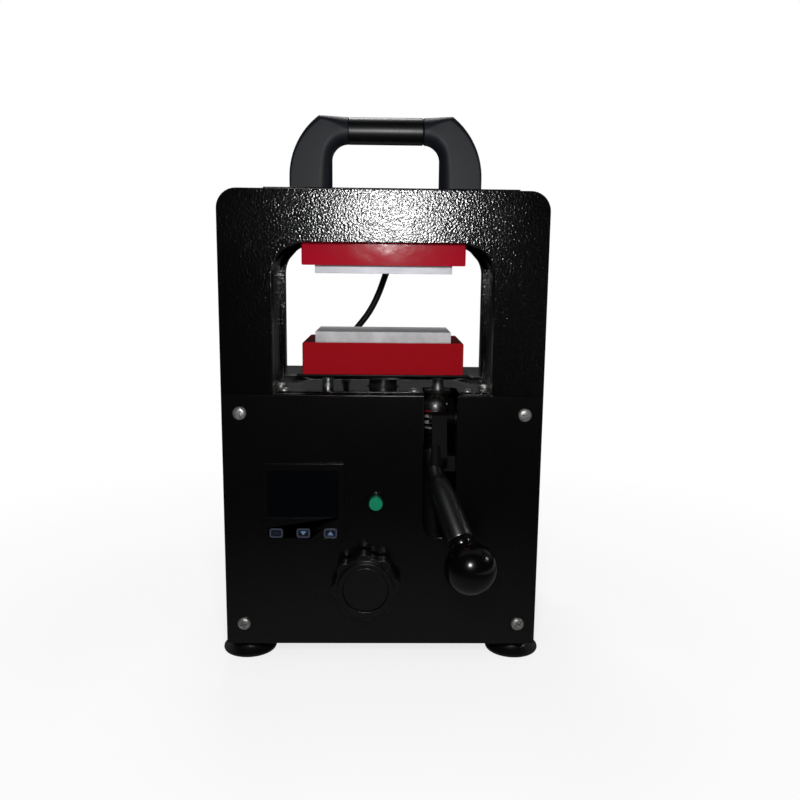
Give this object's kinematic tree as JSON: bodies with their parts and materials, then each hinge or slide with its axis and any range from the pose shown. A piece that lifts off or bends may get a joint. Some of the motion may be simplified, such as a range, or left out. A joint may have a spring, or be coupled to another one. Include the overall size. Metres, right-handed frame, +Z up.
{
  "type": "hydraulic heat press",
  "caption": "Bench heat press: a hand lever pumps a hydraulic ram that lifts the lower heated plate to the upper one inside a steel frame with controller, release knob and carrying handle.",
  "frame": {"origin": "on the axis of the ram, at the height of the surface that the rubber feet stand on", "axes": "+X to the right of a person facing the lever side, +Y to the back of the machine, +Z up"},
  "size_m": [0.295, 0.268, 0.4843],
  "materials": {
    "frame_paint": "gloss textured black paint",
    "panel_paint": "satin black powder coat",
    "deck_paint": "gloss black",
    "machined_steel": "machined",
    "ram_chrome": "ground and plated",
    "plunger_chrome": "polished",
    "zinc_steel": "zinc plated",
    "foot_rubber": "matte",
    "matte_black_plastic": "matte black",
    "gloss_black_plastic": "gloss black",
    "gloss_black_steel": "gloss black",
    "relay_plastic": "matte light grey",
    "upper_red_paint": "gloss red",
    "lower_red_paint": "gloss red",
    "insulation": "pressed mineral board",
    "platen_aluminium": "satin",
    "heater_steel": "satin",
    "lead_sleeve": "satin black sleeve",
    "gland_plastic": "matte black",
    "bush_brass": "machined bronze",
    "spring_steel": "oiled wire",
    "black_casting": "gloss black paint",
    "jack_paint": "gloss black paint",
    "pump_steel": "machined",
    "washer_red": "red seal",
    "display_glass": "dark filter window",
    "key_plastic": "printed membrane",
    "button_ring": "black ring",
    "button_green": "green",
    "handle_plastic": "satin black"
  },
  "bodies": {
    "press": {"bolster_plate": "machined_steel", "bottom_plate": "panel_paint", "button_bezel": "button_ring", "controller_case": "matte_black_plastic", "controller_display": "display_glass", "controller_keys": "key_plastic", "cylinder_cap": "machined_steel", "deck_plate": "deck_paint", "foot_screws": "zinc_steel", "frame_wrap": "frame_paint", "front_cover": "panel_paint", "front_cover_screws": "zinc_steel", "front_portal_plate": "frame_paint", "fulcrum_bolt": "zinc_steel", "guide_bushes": "bush_brass", "handle_grip": "handle_plastic", "handle_leg_left": "handle_plastic", "handle_leg_right": "handle_plastic", "jack_base": "black_casting", "jack_reservoir": "jack_paint", "lead_glands": "gland_plastic", "power_inlet": "matte_black_plastic", "pressure_head": "machined_steel", "pump_body": "pump_steel", "pump_spring": "spring_steel", "rear_housing": "panel_paint", "rear_panel": "panel_paint", "rear_panel_screws": "zinc_steel", "rear_portal_plate": "frame_paint", "return_springs": "spring_steel", "rubber_feet": "foot_rubber", "small_screws": "zinc_steel", "solid_state_relay": "relay_plastic", "top_plate": "frame_paint", "upper_heater_elements": "heater_steel", "upper_heater_housing": "upper_red_paint", "upper_heater_lead": "lead_sleeve", "upper_insulation_board": "insulation", "upper_platen": "platen_aluminium", "window_liners": "frame_paint"},
    "lift": {"carrier_plate": "frame_paint", "ram_pad": "machined_steel", "ram": "ram_chrome", "guide_rods": "ram_chrome", "lower_heater_housing": "lower_red_paint", "lower_insulation_board": "insulation", "lower_platen": "platen_aluminium", "lower_heater_elements": "heater_steel", "lower_lead_gland": "gland_plastic"},
    "lever": {"rocker_arm": "black_casting", "lever_rod": "gloss_black_steel", "lever_grip": "gloss_black_plastic", "ball_knob": "gloss_black_plastic"},
    "plunger": {"pump_plunger": "plunger_chrome", "plunger_washer": "washer_red"},
    "release_valve": {"valve_stem": "machined_steel", "release_knob": "matte_black_plastic", "knob_cap": "matte_black_plastic"},
    "start_button": {"button_cap": "button_green"},
    "mains_switch": {"switch_rocker": "gloss_black_plastic"}
  },
  "joints": [
    {"name": "platen_lift", "type": "slide", "parent": "press", "child": "lift", "axis": [0, 0, 1], "range_m": [0, 0.0508], "deforming": ["return_springs"]},
    {"name": "lever_swing", "type": "hinge", "parent": "press", "child": "lever", "pos_m": [0.0536, -0.0425, 0.22297], "axis": [-1, 0, 0], "range_deg": [0, 60]},
    {"name": "plunger_slide", "type": "slide", "parent": "press", "child": "plunger", "axis": [0, 0, -1], "range_m": [0, 0.0191], "stiffness_N_per_m": 400, "deforming": ["pump_spring"]},
    {"name": "valve_turn", "type": "hinge", "parent": "press", "child": "release_valve", "pos_m": [-0.014, -0.058, 0.075], "axis": [0, -1, 0], "range_deg": [0, 360]},
    {"name": "button_press", "type": "slide", "parent": "press", "child": "start_button", "axis": [0, 1, 0], "range_m": [0, 0.002], "stiffness_N_per_m": 500},
    {"name": "switch_rock", "type": "hinge", "parent": "press", "child": "mains_switch", "pos_m": [0.08, 0.13, 0.073], "axis": [-1, 0, 0], "range_deg": [0, 14]}
  ],
  "couplings": [
    {"joint": "plunger_slide", "follows": "lever_swing", "m_per_rad": 0.018194}
  ]
}
